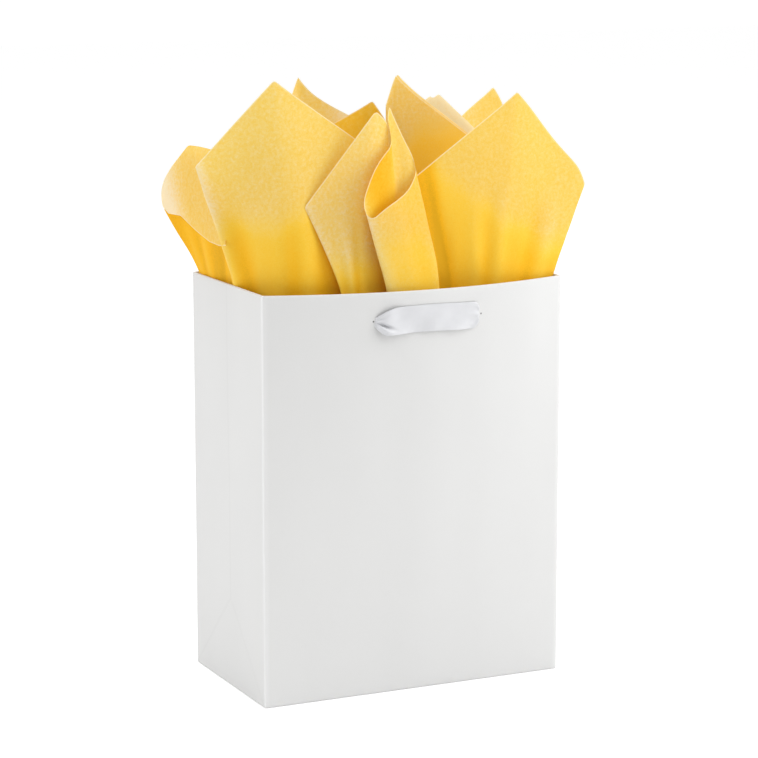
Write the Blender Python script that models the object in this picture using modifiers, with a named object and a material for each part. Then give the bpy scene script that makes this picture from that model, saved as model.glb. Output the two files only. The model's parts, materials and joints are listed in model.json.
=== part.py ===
"""Paper gift bag with two ribbon handles, stiffening cards and four sheets of tissue.

Metres, +Z up. The origin is the centre of the base on the table, the front panel
faces -Y and the two gusseted sides face -X and +X.
"""

import math

import bmesh
import bpy
from mathutils import Vector

# Bag
WIDTH = 0.195
DEPTH = 0.108
HEIGHT = 0.245
PAPER = 0.0005
CLEARANCE = 0.0004

# How far the middle of each panel's rim bows outward
FRONT_BOW = 0.019
BACK_BOW = 0.012
BOW_POWER = 1.5

# Turned-in hem with a stiffening card inside it, and the board on the floor
CARD = 0.0008
HEM_HEIGHT = 0.036
CARD_SIDE_MARGIN = 0.006
BOARD = 0.0015
BOARD_MARGIN = 0.003

# Handle holes
HOLE_X = 0.036
HOLE_DROP = 0.017
HOLE_RADIUS = 0.0025
CUTTER_LENGTH = 0.016

# Ribbon handles
RIBBON_WIDTH = 0.016
RIBBON_THICKNESS = 0.0006
STRAP_STANDOFF = 0.0016
STRAP_SAG = 0.0105
STRAP_GATHER = 0.014
STRAP_END_WIDTH = 0.0024
NECK_RADIUS = 0.0019
KNOT_RADIUS = 0.0042
TAIL_RADIUS = 0.0018
SLACK = 0.085

# Tissue
FOOT_HEIGHT = 0.085
FOOT_RADIUS = 0.0045
MOUTH_HEIGHT = HEIGHT + 0.003
MOUTH_MARGIN = 0.0015

# Mesh resolution
PANEL_COLUMNS = 24
GUSSET_COLUMNS = 4
WALL_ROWS = 10
STRAP_COLUMNS = 28
STRAP_ROWS = 2
HOLE_SIDES = 24
NECK_SIDES = 16
NECK_RINGS = 10
KNOT_SIDES = 20
KNOT_RINGS = 12

# Values that follow from the ones above
HOLE_HEIGHT = HEIGHT - HOLE_DROP
HEM_INSET = 2 * PAPER + CARD + 2 * CLEARANCE
FRONT = -1
BACK = 1
BOW = {FRONT: FRONT_BOW, BACK: BACK_BOW}
SIDE_NAME = {FRONT: "front", BACK: "back"}

# Foot of each tissue sheet, and its crown anticlockwise from above: tips, shoulders, valleys
LEFT_FOOT = (-0.066, 0.000)
LEFT_CROWN = [
    (-0.130, -0.038, 0.320),
    (-0.086, -0.043, 0.365),
    (-0.045, -0.040, 0.336),
    (-0.047, -0.005, 0.280),
    (-0.056, 0.035, 0.285),
    (-0.104, 0.066, 0.297),
    (-0.112, 0.030, 0.325),
    (-0.114, -0.004, 0.318),
]
FRONT_FOOT = (-0.020, -0.044)
FRONT_CROWN = [
    (-0.071, -0.055, 0.294),
    (-0.027, -0.059, 0.347),
    (-0.008, -0.059, 0.331),
    (0.014, -0.057, 0.285),
    (0.008, -0.047, 0.275),
    (-0.020, -0.046, 0.350),
    (-0.050, -0.049, 0.280),
]
RIGHT_FOOT = (0.048, -0.032)
RIGHT_CROWN = [
    (0.008, -0.041, 0.309),
    (0.072, -0.047, 0.353),
    (0.118, -0.044, 0.299),
    (0.110, -0.016, 0.285),
    (0.064, -0.018, 0.280),
    (0.026, -0.026, 0.275),
]
BACK_FOOT = (0.022, 0.024)
BACK_CROWN = [
    (-0.036, 0.014, 0.300),
    (-0.020, 0.004, 0.338),
    (0.013, -0.008, 0.363),
    (0.063, -0.006, 0.332),
    (0.098, 0.022, 0.350),
    (0.094, 0.048, 0.300),
    (0.030, 0.054, 0.285),
    (-0.037, 0.046, 0.362),
]

# Colour and roughness of each material
WHITE_PAPER = ((0.90, 0.90, 0.89), 0.75)
WHITE_CARD = ((0.84, 0.83, 0.80), 0.85)
WHITE_SATIN = ((0.93, 0.93, 0.94), 0.35)
YELLOW_TISSUE = ((0.94, 0.68, 0.18), 0.7)


def clear_scene():
    for item in list(bpy.data.objects):
        bpy.data.objects.remove(item, do_unlink=True)


def new_collection(name):
    collection = bpy.data.collections.new(name)
    bpy.context.scene.collection.children.link(collection)
    return collection


def new_material(name, colour, roughness):
    material = bpy.data.materials.new(name)
    material.use_nodes = True
    shader = material.node_tree.nodes["Principled BSDF"]
    shader.inputs["Base Color"].default_value = (*colour, 1.0)
    shader.inputs["Roughness"].default_value = roughness
    shader.inputs["Metallic"].default_value = 0.0
    return material


def finish_object(item, collection, material):
    """Move an object into its collection and give it its material."""
    for other in list(item.users_collection):
        other.objects.unlink(item)
    collection.objects.link(item)
    item.data.materials.append(material)
    return item


def new_object(name, surface, collection, material):
    mesh = bpy.data.meshes.new(name)
    surface.to_mesh(mesh)
    surface.free()
    item = bpy.data.objects.new(name, mesh)
    return finish_object(item, collection, material)


def solidify(item, thickness, offset):
    modifier = item.modifiers.new("thickness", "SOLIDIFY")
    modifier.thickness = thickness
    modifier.offset = offset
    modifier.use_even_offset = True


def bow_at(x, z, side):
    """Distance that a panel bows out from its flat plane at one point."""
    across = 1.0 - (2.0 * x / WIDTH) ** 2
    upward = (max(z, 0.0) / HEIGHT) ** BOW_POWER
    return BOW[side] * across * upward


def panel_y(x, z, side, inset=0.0):
    """Y of a panel's outer face, moved inward by inset."""
    return side * (DEPTH / 2 + bow_at(x, z, side) - inset)


def ring_points(z, inset):
    """One closed turn around the bag at height z, anticlockwise from above."""
    half_width = WIDTH / 2 - inset
    points = []
    for side, direction in ((FRONT, 1), (BACK, -1)):
        for column in range(PANEL_COLUMNS + 1):
            x = direction * half_width * (2.0 * column / PANEL_COLUMNS - 1.0)
            points.append((x, panel_y(x, z, side, inset), z))
        start = Vector(points[-1])
        next_panel_y = panel_y(start.x, z, -side, inset)
        for column in range(1, GUSSET_COLUMNS):
            share = column / GUSSET_COLUMNS
            y = start.y + (next_panel_y - start.y) * share
            points.append((start.x, y, z))
    return points


def bridge_rings(mesh_data, lower, upper):
    count = len(lower)
    for index in range(count):
        following = (index + 1) % count
        corners = (lower[index], lower[following], upper[following], upper[index])
        mesh_data.faces.new(corners)


def bag_body(collection, material):
    """Walls, floor and turned-in hem as one folded sheet of paper."""
    levels = [(HEIGHT * row / WALL_ROWS, 0.0) for row in range(WALL_ROWS + 1)]
    levels.append((HEIGHT, HEM_INSET))
    levels.append((HEIGHT - HEM_HEIGHT / 2, HEM_INSET))
    levels.append((HEIGHT - HEM_HEIGHT, HEM_INSET))
    sheet = bmesh.new()
    rings = []
    for z, inset in levels:
        rings.append([sheet.verts.new(point) for point in ring_points(z, inset)])
    sheet.faces.new(list(reversed(rings[0])))
    for lower, upper in zip(rings, rings[1:]):
        bridge_rings(sheet, lower, upper)
    item = new_object("bag_body", sheet, collection, material)
    solidify(item, PAPER, -1.0)
    return item


def stiffening_card(side, collection, material):
    """Card strip that lies between a panel and its hem."""
    inset = PAPER + CLEARANCE
    half_width = WIDTH / 2 - CARD_SIDE_MARGIN
    bottom = HEIGHT - HEM_HEIGHT + CLEARANCE
    top = HEIGHT - PAPER - 2 * CLEARANCE
    strip = bmesh.new()
    rows = []
    for z in (bottom, (bottom + top) / 2, top):
        row = []
        for column in range(PANEL_COLUMNS + 1):
            x = half_width * (2.0 * column / PANEL_COLUMNS - 1.0)
            row.append(strip.verts.new((x, panel_y(x, z, side, inset), z)))
        rows.append(row)
    for lower, upper in zip(rows, rows[1:]):
        for column in range(PANEL_COLUMNS):
            corners = [lower[column], lower[column + 1], upper[column + 1], upper[column]]
            if side == BACK:
                corners.reverse()
            strip.faces.new(corners)
    item = new_object(SIDE_NAME[side] + "_card", strip, collection, material)
    solidify(item, CARD, -1.0)
    return item


def base_board(collection, material):
    """Board that keeps the floor flat, glued on the folded bottom."""
    bpy.ops.mesh.primitive_cube_add(size=1.0)
    item = bpy.context.object
    item.name = "base_board"
    item.location = (0.0, 0.0, PAPER + CLEARANCE + BOARD / 2)
    width = WIDTH - 2 * BOARD_MARGIN
    depth = DEPTH - 2 * BOARD_MARGIN
    item.data.transform(((width, 0, 0, 0), (0, depth, 0, 0), (0, 0, BOARD, 0), (0, 0, 0, 1)))
    return finish_object(item, collection, material)


def hole_cutter(side, x, collection):
    """Cylinder along Y through the panel, its card and its hem."""
    bpy.ops.mesh.primitive_cylinder_add(
        vertices=HOLE_SIDES, radius=HOLE_RADIUS, depth=CUTTER_LENGTH
    )
    item = bpy.context.object
    item.name = SIDE_NAME[side] + ("_hole_left" if x < 0 else "_hole_right")
    item.location = (x, panel_y(x, HOLE_HEIGHT, side), HOLE_HEIGHT)
    item.rotation_euler = (math.pi / 2, 0.0, 0.0)
    item.hide_render = True
    item.display_type = "WIRE"
    for other in list(item.users_collection):
        other.objects.unlink(item)
    collection.objects.link(item)
    return item


def cut(item, cutter):
    modifier = item.modifiers.new(cutter.name, "BOOLEAN")
    modifier.operation = "DIFFERENCE"
    modifier.solver = "EXACT"
    modifier.object = cutter


def hinge_line(side, collection):
    """Empty on the line through the middles of a panel's two holes, where its handle turns."""
    item = bpy.data.objects.new(SIDE_NAME[side] + "_hinge_line", None)
    item.location = (0.0, panel_y(HOLE_X, HOLE_HEIGHT, side, HEM_INSET / 2), HOLE_HEIGHT)
    collection.objects.link(item)
    return item


def strap(side, hinge, collection, material):
    """Ribbon between the holes: a flat band that gathers to a point at each end."""
    half_span = HOLE_X - STRAP_STANDOFF
    band = bmesh.new()
    columns = []
    for column in range(STRAP_COLUMNS + 1):
        x = half_span * (2.0 * column / STRAP_COLUMNS - 1.0)
        arch = 1.0 - (x / half_span) ** 2
        forward = HEM_INSET / 2 + STRAP_STANDOFF + STRAP_SAG * arch
        opened = min(1.0, (half_span - abs(x)) / STRAP_GATHER)
        opened = math.sin(opened * math.pi / 2)
        half_width = (STRAP_END_WIDTH + (RIBBON_WIDTH - STRAP_END_WIDTH) * opened) / 2
        line = []
        for row in range(STRAP_ROWS + 1):
            z = half_width * (2.0 * row / STRAP_ROWS - 1.0)
            line.append(band.verts.new((x, side * forward, z)))
        columns.append(line)
    for near, far in zip(columns, columns[1:]):
        for row in range(STRAP_ROWS):
            band.faces.new((near[row], far[row], far[row + 1], near[row + 1]))
    item = new_object(SIDE_NAME[side] + "_strap", band, collection, material)
    solidify(item, RIBBON_THICKNESS, 0.0)
    item.parent = hinge
    return item


def slack_line(side, x):
    """Top and bottom of the path that a knot follows down the inside of a panel."""
    top_inset = HEM_INSET + KNOT_RADIUS + CLEARANCE
    top_z = HOLE_HEIGHT - KNOT_RADIUS / 2
    bottom_z = top_z - SLACK
    bottom_inset = PAPER + KNOT_RADIUS + 2 * CLEARANCE
    top = Vector((x, panel_y(x, top_z, side, top_inset), top_z))
    bottom = Vector((x, panel_y(x, bottom_z, side, bottom_inset), bottom_z))
    return top, bottom


def neck(side, x, hinge, collection, material):
    """Ribbon bunched inside one hole."""
    bpy.ops.mesh.primitive_uv_sphere_add(
        segments=NECK_SIDES, ring_count=NECK_RINGS, radius=NECK_RADIUS
    )
    item = bpy.context.object
    item.name = ribbon_name(side, "neck", x)
    item.parent = hinge
    item.location = (x, 0.0, 0.0)
    item.data.shade_smooth()
    return finish_object(item, collection, material)


def tail(side, x, collection, material):
    """Slack ribbon that hangs inside the panel between a hole and its knot."""
    top, bottom = slack_line(side, x)
    direction = (top - bottom).normalized()
    start = bottom + direction * (KNOT_RADIUS + CLEARANCE)
    length = (top - start).length
    bpy.ops.mesh.primitive_cylinder_add(vertices=NECK_SIDES, radius=TAIL_RADIUS, depth=length)
    item = bpy.context.object
    item.name = ribbon_name(side, "tail", x)
    item.location = (start + top) / 2
    item.rotation_mode = "QUATERNION"
    item.rotation_quaternion = Vector((0.0, 0.0, 1.0)).rotation_difference(direction)
    item.data.shade_smooth()
    return finish_object(item, collection, material)


def knot(side, x, collection, material):
    """Knot that stops the ribbon from pulling through its hole."""
    bpy.ops.mesh.primitive_uv_sphere_add(
        segments=KNOT_SIDES, ring_count=KNOT_RINGS, radius=KNOT_RADIUS
    )
    item = bpy.context.object
    item.name = ribbon_name(side, "knot", x)
    item.location = slack_line(side, x)[1]
    item.data.shade_smooth()
    return finish_object(item, collection, material)


def ribbon_name(side, piece, x):
    return "_".join((SIDE_NAME[side], piece, "left" if x < 0 else "right"))


def inside_mouth(x, y, z):
    """Nearest place to (x, y) that is clear inside the bag's mouth."""
    margin = HEM_INSET + MOUTH_MARGIN
    half_width = WIDTH / 2 - margin
    x = max(-half_width, min(half_width, x))
    y = max(panel_y(x, HEIGHT, FRONT, margin), min(panel_y(x, HEIGHT, BACK, margin), y))
    return x, y, z


def tissue_sheet(name, foot, crown, collection, material):
    """Sheet gathered at its foot inside the bag and spreading to its crown."""
    foot = Vector((*foot, FOOT_HEIGHT))
    middle = sum((Vector(point) for point in crown), Vector()) / len(crown)
    sheet = bmesh.new()
    foot_ring = []
    mouth_ring = []
    crown_ring = []
    for point in crown:
        outward = Vector((point[0] - middle.x, point[1] - middle.y, 0.0)).normalized()
        start = foot + outward * FOOT_RADIUS
        share = (MOUTH_HEIGHT - FOOT_HEIGHT) / (point[2] - FOOT_HEIGHT)
        crossing = start.lerp(Vector(point), share)
        foot_ring.append(sheet.verts.new(start))
        mouth_ring.append(sheet.verts.new(inside_mouth(*crossing)))
        crown_ring.append(sheet.verts.new(point))
    sheet.faces.new(list(reversed(foot_ring)))
    bridge_rings(sheet, foot_ring, mouth_ring)
    bridge_rings(sheet, mouth_ring, crown_ring)
    bmesh.ops.triangulate(sheet, faces=sheet.faces)
    item = new_object(name, sheet, collection, material)
    solidify(item, PAPER, -1.0)
    return item


def build():
    clear_scene()
    parts = new_collection("gift_bag")
    cutters = new_collection("cutters")

    paper = new_material("white_paper", *WHITE_PAPER)
    card = new_material("white_card", *WHITE_CARD)
    ribbon = new_material("white_satin", *WHITE_SATIN)
    tissue = new_material("yellow_tissue", *YELLOW_TISSUE)

    body = bag_body(parts, paper)
    base_board(parts, card)
    for side in (FRONT, BACK):
        side_card = stiffening_card(side, parts, card)
        hinge = hinge_line(side, parts)
        strap(side, hinge, parts, ribbon)
        for x in (-HOLE_X, HOLE_X):
            cutter = hole_cutter(side, x, cutters)
            cut(body, cutter)
            cut(side_card, cutter)
            neck(side, x, hinge, parts, ribbon)
            tail(side, x, parts, ribbon)
            knot(side, x, parts, ribbon)

    tissue_sheet("left_tissue", LEFT_FOOT, LEFT_CROWN, parts, tissue)
    tissue_sheet("front_tissue", FRONT_FOOT, FRONT_CROWN, parts, tissue)
    tissue_sheet("right_tissue", RIGHT_FOOT, RIGHT_CROWN, parts, tissue)
    tissue_sheet("back_tissue", BACK_FOOT, BACK_CROWN, parts, tissue)


build()
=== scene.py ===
"""Looks of the gift bag: folded white paper, satin ribbon handles and crumpled yellow tissue."""

import json
import math
from collections import namedtuple

import bpy
import numpy as np
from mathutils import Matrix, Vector, noise


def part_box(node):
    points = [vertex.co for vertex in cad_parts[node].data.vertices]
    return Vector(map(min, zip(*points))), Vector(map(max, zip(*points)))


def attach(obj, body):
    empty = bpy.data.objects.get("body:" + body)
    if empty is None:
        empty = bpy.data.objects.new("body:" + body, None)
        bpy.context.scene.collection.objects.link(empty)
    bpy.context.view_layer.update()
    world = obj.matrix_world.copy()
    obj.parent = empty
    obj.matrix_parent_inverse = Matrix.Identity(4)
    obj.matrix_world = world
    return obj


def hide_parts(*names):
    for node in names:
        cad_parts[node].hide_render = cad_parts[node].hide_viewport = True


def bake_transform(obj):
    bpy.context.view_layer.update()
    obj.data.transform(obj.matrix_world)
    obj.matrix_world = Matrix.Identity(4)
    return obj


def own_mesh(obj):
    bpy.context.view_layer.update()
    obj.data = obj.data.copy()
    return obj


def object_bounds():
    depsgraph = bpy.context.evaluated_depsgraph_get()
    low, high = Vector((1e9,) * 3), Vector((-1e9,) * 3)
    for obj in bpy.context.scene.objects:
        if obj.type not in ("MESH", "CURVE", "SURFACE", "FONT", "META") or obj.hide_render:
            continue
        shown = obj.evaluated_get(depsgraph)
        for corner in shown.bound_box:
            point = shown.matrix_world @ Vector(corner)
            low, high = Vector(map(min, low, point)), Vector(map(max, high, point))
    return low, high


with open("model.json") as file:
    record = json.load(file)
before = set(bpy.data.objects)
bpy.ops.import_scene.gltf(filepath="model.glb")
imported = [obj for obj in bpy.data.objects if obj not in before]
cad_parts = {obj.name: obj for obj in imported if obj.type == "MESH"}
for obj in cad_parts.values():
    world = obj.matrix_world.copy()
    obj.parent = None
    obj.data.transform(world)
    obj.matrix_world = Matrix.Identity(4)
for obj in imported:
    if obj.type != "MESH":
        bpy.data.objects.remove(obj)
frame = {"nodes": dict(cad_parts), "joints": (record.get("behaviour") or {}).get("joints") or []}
cad_low, cad_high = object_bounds()

MM = 0.001
FRONT = -1
BACK = 1
SIDES = {"front": FRONT, "back": BACK}
LEFT = -1
RIGHT = 1
HANDS = {"left": LEFT, "right": RIGHT}

# Sizes read from the frame
BODY_LOW, BODY_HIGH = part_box("bag_body")
WIDTH = BODY_HIGH.x - BODY_LOW.x
HEIGHT = BODY_HIGH.z
FLOOR_CORNERS = [v.co for v in frame["nodes"]["bag_body"].data.vertices if v.co.z < 0.1 * MM]
DEPTH = 2 * max(corner.y for corner in FLOOR_CORNERS)
BOW = {FRONT: -BODY_LOW.y - DEPTH / 2, BACK: BODY_HIGH.y - DEPTH / 2}
HALF_WIDTH = WIDTH / 2
HALF_DEPTH = DEPTH / 2
CROWN = cad_high.z - HEIGHT
HEM_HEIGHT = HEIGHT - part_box("front_card")[0].z
FOOT_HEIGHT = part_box("left_tissue")[0].z
HOLE_X = (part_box("front_neck_right")[0].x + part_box("front_neck_right")[1].x) / 2
JOINTS = {joint["name"]: joint for joint in frame["joints"]}

# Paper
PAPER = 0.3 * MM
BOW_POWER = 1.5
HEM_INSET = 1.8 * MM
FOLD_RADIUS = 0.9 * MM
FOLD_SHARES = (0.25, 0.5, 0.75)
CREASE_DEPTH = 0.9 * MM
CREASE_WIDTH = 1.4 * MM
RIM_STIFFNESS = 0.75
PANEL_RIPPLE = 0.45 * MM
PANEL_RIPPLE_SIZE = 34 * MM
GUSSET_RIPPLE = 0.3 * MM
GUSSET_RIPPLE_SIZE = 25 * MM
RIPPLE_STRETCH = 0.35
CELL = 1.5 * MM
WALL_ROWS = 56
HEM_ROWS = 10
PANEL_COLUMNS = 72
GUSSET_COLUMNS = 73
FLOOR_ROWS = 12
FLOOR_COLUMNS = 24
BOTTOM_OVERLAP = 9 * MM
BOTTOM_TAPER = 26 * MM

# Ribbon: PINCH is half the width it is bunched to inside a hole
RIBBON = 16 * MM
RIBBON_THICKNESS = 0.35 * MM
PINCH = 1.2 * MM

# Band between the holes: half its length, its middle's shift and how far it stands off the panel
STRAP_HALF = HOLE_X - 1.1 * MM
STRAP_SHIFT = 0.8 * MM
STRAP_REACH = 1.1 * MM
STRAP_CLEARANCE = 0.4 * MM
STRAP_SWAY = 0.4 * MM
# Waves along the band: height, pace, slant and phase
STRAP_WAVES = ((0.6 * MM, 5.6, 1.2, 0.7), (0.4 * MM, 12.0, -1.6, 0.0))
# How far from its hole the band's upper and lower halves reach full width
GATHERED_TAPERS = (15 * MM, 8 * MM)
LOOSE_TAPERS = (5 * MM, 6 * MM)
# Shapes at the gathered end: height, distance from the hole and size
GATHER_BULGE = (2.0 * MM, 7 * MM, 8 * MM)
GATHER_LOBE = (1.2 * MM, 6 * MM, 4 * MM)
GATHER_HOLLOW = (3.6 * MM, 5.5 * MM, 4.5 * MM)
OUT_OF_HOLE = 12 * MM
INTO_HOLE = 1.8 * MM
PLEAT = 0.5 * MM
PLEAT_REACH = 7 * MM

# Slack inside the panel: its narrowest half width and how much it widens, and its folds
TAIL_INSET = 1.2 * MM
TAIL_WIDTHS = (1.2 * MM, 1.8 * MM)
TAIL_FOLD = 0.9 * MM
TAIL_SWAY = 0.8 * MM

# Knot: its loop as a share of its box, the cord's half sizes, and the cut tip below it
KNOT_SCALE = 0.1
KNOT_CORD = (1.5 * MM, 0.7 * MM)
TIP_LENGTH = 11 * MM
TIP_SLANT = 1.5 * MM
TIP_DROP = 3 * MM
TIP_FOLD = 0.6 * MM
TIP_WIDTHS = (1.2 * MM, 2.4 * MM)


# ---------------------------------------------------------------- meshes

def grid_object(name, points, closed=False, layers=None, thickness=0.0, offset=0.0):
    """Mesh from rows of points; closed joins each row's last point to its first."""
    rows, columns = points.shape[:2]
    index = np.arange(rows * columns).reshape(rows, columns)
    if closed:
        index = np.hstack([index, index[:, :1]])
    faces = np.stack([index[:-1, :-1], index[:-1, 1:], index[1:, 1:], index[1:, :-1]], axis=-1)
    mesh = bpy.data.meshes.new(name)
    mesh.from_pydata(points.reshape(-1, 3).tolist(), [], faces.reshape(-1, 4).tolist())
    for layer, values in (layers or {}).items():
        attribute = mesh.attributes.new(layer, "FLOAT", "POINT")
        attribute.data.foreach_set("value", np.ascontiguousarray(values, np.float32).ravel())
    mesh.shade_smooth()
    item = bpy.data.objects.new(name, mesh)
    bpy.context.scene.collection.objects.link(item)
    if thickness:
        modifier = item.modifiers.new("thickness", "SOLIDIFY")
        modifier.thickness = thickness
        modifier.offset = offset
        modifier.use_even_offset = True
    return item


def finish_piece(item, material, body=None, stands_for=()):
    """Gives a piece its material, the body it rides on and the nodes it stands for."""
    item.data.materials.append(material)
    if body:
        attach(item, body)
    if stands_for:
        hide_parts(*stands_for)


def smoothstep(low, high, value):
    """0 below low, 1 above high and a smooth step between."""
    share = np.clip((value - low) / (high - low), 0.0, 1.0)
    return share * share * (3.0 - 2.0 * share)


def bell(value, middle, width):
    """Smooth bump of height 1 around a middle."""
    return np.exp(-((value - middle) / width) ** 2)


def eased(share):
    """Quarter wave from 0 to 1 that levels off at the end."""
    return np.sin(np.clip(share, 0, 1) * math.pi / 2)


def noise_field(points, scale, seed):
    """Smooth noise from -1 to 1 at each point; scale is the size of its features."""
    flat = points.reshape(-1, 3)
    shift = Vector((seed, 2.0 * seed, -seed))
    values = [noise.noise(Vector(point) / scale + shift) for point in flat]
    return np.array(values).reshape(points.shape[:-1])


def normals_of(points):
    """Unit normals of rows of points that close on themselves."""
    along = np.roll(points, -1, axis=1) - np.roll(points, 1, axis=1)
    upward = np.gradient(points, axis=0)
    normal = np.cross(along, upward)
    return normal / np.maximum(np.linalg.norm(normal, axis=-1, keepdims=True), 1e-12)


# ---------------------------------------------------------------- bag

def panel_y(x, z, side, inset=0.0):
    """Y of a panel's outer face, which bows out most in the middle of the rim."""
    across = 1.0 - (x / HALF_WIDTH) ** 2
    return side * (HALF_DEPTH + BOW[side] * across * (z / HEIGHT) ** BOW_POWER - inset)


def bag_levels():
    """Heights and insets from the floor's fold up the wall, over the rim and down the hem."""
    rim_radius = HEM_INSET / 2
    rim_level = HEIGHT - rim_radius
    levels = []
    for angle in np.linspace(0.0, math.pi / 2, 4)[:-1]:
        levels.append((FOLD_RADIUS * (1 - math.cos(angle)), FOLD_RADIUS * (1 - math.sin(angle))))
    levels += [(z, 0.0) for z in np.arange(FOLD_RADIUS, HALF_DEPTH + CELL, CELL)]
    levels += [(z, 0.0) for z in np.linspace(HALF_DEPTH + 2 * CELL, rim_level, WALL_ROWS)]
    for angle in np.linspace(0.0, math.pi, 9)[1:]:
        levels.append((rim_level + rim_radius * math.sin(angle), rim_radius * (1 - math.cos(angle))))
    hem_rows = np.linspace(HEIGHT - 2 * HEM_INSET, HEIGHT - HEM_HEIGHT, HEM_ROWS)
    levels += [(z, HEM_INSET) for z in hem_rows]
    return levels


def rounded_fold(before, corner, after):
    """Points that round the corner between two straight runs."""
    return [before.lerp(corner, share).lerp(corner.lerp(after, share), share)[:] for share in FOLD_SHARES]


def bag_section(z, inset):
    """One turn around the bag at a height, anticlockwise from above, with rounded folds."""
    half_width = HALF_WIDTH - inset
    straight = half_width - FOLD_RADIUS
    points = []
    for side, heading in ((FRONT, RIGHT), (BACK, LEFT)):
        for x in np.linspace(-straight, straight, PANEL_COLUMNS) * heading:
            points.append((x, panel_y(x, z, side, inset)))
        corner = Vector((heading * half_width, panel_y(half_width, z, side, inset)))
        gusset_start = Vector((corner.x, corner.y - side * FOLD_RADIUS))
        points += rounded_fold(Vector(points[-1]), corner, gusset_start)
        next_corner = Vector((corner.x, panel_y(half_width, z, -side, inset)))
        gusset_end = Vector((corner.x, next_corner.y + side * FOLD_RADIUS))
        for y in np.linspace(gusset_start.y, gusset_end.y, GUSSET_COLUMNS):
            points.append((corner.x, y))
        next_panel = Vector((heading * straight, panel_y(straight, z, -side, inset)))
        points += rounded_fold(gusset_end, next_corner, next_panel)
    return points


def gusset_dent(y, z):
    """How far a gusset is pushed in: folds meet one half-depth above the floor."""
    toward_fold = 1.0 - np.abs(y) / HALF_DEPTH
    lower = z / HALF_DEPTH
    near_rim = 1.0 - RIM_STIFFNESS * smoothstep(0.45 * HEIGHT, 0.8 * HEIGHT, z)
    return CREASE_DEPTH * near_rim * np.clip(np.minimum(toward_fold, lower), 0.0, 1.0)


def ripple_walls(points, on_gusset):
    """Moves the walls' points: soft ripples everywhere, and a dent along each gusset's folds."""
    x, y, z = points[..., 0], points[..., 1], points[..., 2]
    away_from_folds = smoothstep(0.0, 12 * MM, HALF_WIDTH - np.abs(x))
    away_from_ends = smoothstep(0.0, 30 * MM, z) * smoothstep(0.0, 25 * MM, HEIGHT - z)
    stretched = points * np.array([1.0, 1.0, RIPPLE_STRETCH])
    panel_ripple = PANEL_RIPPLE * noise_field(stretched, PANEL_RIPPLE_SIZE, seed=3.0)
    y += panel_ripple * away_from_folds * away_from_ends
    x -= np.sign(x) * np.where(on_gusset, gusset_dent(y, z), 0.0)
    near_corner = smoothstep(0.0, 10 * MM, HALF_DEPTH - np.abs(y))
    gusset_ripple = GUSSET_RIPPLE * noise_field(stretched, GUSSET_RIPPLE_SIZE, seed=7.0)
    x += np.where(on_gusset, gusset_ripple * near_corner * away_from_ends, 0.0)


def fold_layers(points, on_gusset, outside):
    """Where the outer face gets a painted highlight along its folds, and painted shade along the gussets'
    creases.
    """
    x, y, z = points[..., 0], points[..., 1], points[..., 2]
    to_corner = np.hypot(HALF_WIDTH - np.abs(x), np.abs(np.abs(y) - HALF_DEPTH))
    # Painted highlight: a pale line along each vertical fold
    fold_highlight = 1.0 - smoothstep(0.3 * MM, 1.3 * MM, to_corner)
    to_diagonal = np.abs(np.abs(y) + z - HALF_DEPTH) / math.sqrt(2.0)
    to_crease = np.where(z > HALF_DEPTH - CELL, np.abs(y), to_diagonal)
    # Painted shade: a darker line along each gusset crease
    crease_shade = on_gusset * (1.0 - smoothstep(0.0, CREASE_WIDTH, to_crease))
    return {"fold": fold_highlight * outside, "crease": crease_shade * outside}


def bag_paper(material):
    """Folded sheet: walls with soft ripples, creased gussets and a turned-in hem."""
    levels = bag_levels()
    points = np.array([[(x, y, z) for x, y in bag_section(z, inset)] for z, inset in levels])
    on_gusset = np.abs(points[..., 0]) > HALF_WIDTH - HEM_INSET - FOLD_RADIUS
    outside = np.array([float(inset <= 0.9 * HEM_INSET) for _, inset in levels])[:, None]
    ripple_walls(points, on_gusset)
    layers = fold_layers(points, on_gusset, outside)
    wall = grid_object("bag_paper", points, True, layers, PAPER, -1.0)
    finish_piece(wall, material, "bag", ["bag_body"])


def floor_layer(name, z, low, high, free_edge, taper, material):
    """Flat layer of the folded bottom, from low to high in y, that narrows toward its free edge."""
    rows = []
    for y in np.linspace(low, high, FLOOR_ROWS):
        near_free_edge = 1.0 - abs(y - free_edge) / (high - low)
        half = HALF_WIDTH - FOLD_RADIUS - taper * near_free_edge
        rows.append([(x, y, z) for x in np.linspace(half, -half, FLOOR_COLUMNS)])
    layer = grid_object(name, np.array(rows), thickness=0.8 * PAPER, offset=-1.0)
    finish_piece(layer, material, "bag")


def bag_floor(material):
    """Folded bottom: a sheet above two long flaps that overlap along the middle."""
    edge = HALF_DEPTH - FOLD_RADIUS
    floor_layer("bottom_sheet", 2 * PAPER, -edge, edge, edge, 0.0, material)
    lap = BOTTOM_OVERLAP
    floor_layer("bottom_flap_back", PAPER, -lap, edge, -lap, BOTTOM_TAPER, material)
    floor_layer("bottom_flap_front", 0.0, -edge, lap, lap, BOTTOM_TAPER, material)


def card_nodes(material):
    """The stiffening cards and base board keep their own shapes and take the card material."""
    for name in ("base_board", "front_card", "back_card"):
        board = frame["nodes"][name]
        board.data.materials.clear()
        board.data.materials.append(material)


# ---------------------------------------------------------------- ribbon

def hole_point(side_name):
    """Middle of the line through a panel's two holes."""
    return Vector(JOINTS[side_name + "_handle_raise"]["pos_m"])


def strap_opening(from_hole, v, gathered):
    """Share of its full width that the band has opened to, above and below its middle line."""
    upper_taper, lower_taper = GATHERED_TAPERS if gathered else LOOSE_TAPERS
    upper = eased(from_hole / upper_taper) ** 0.75
    lower = eased(from_hole / lower_taper) ** 0.8
    return np.where(v > 0, upper, lower)


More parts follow.
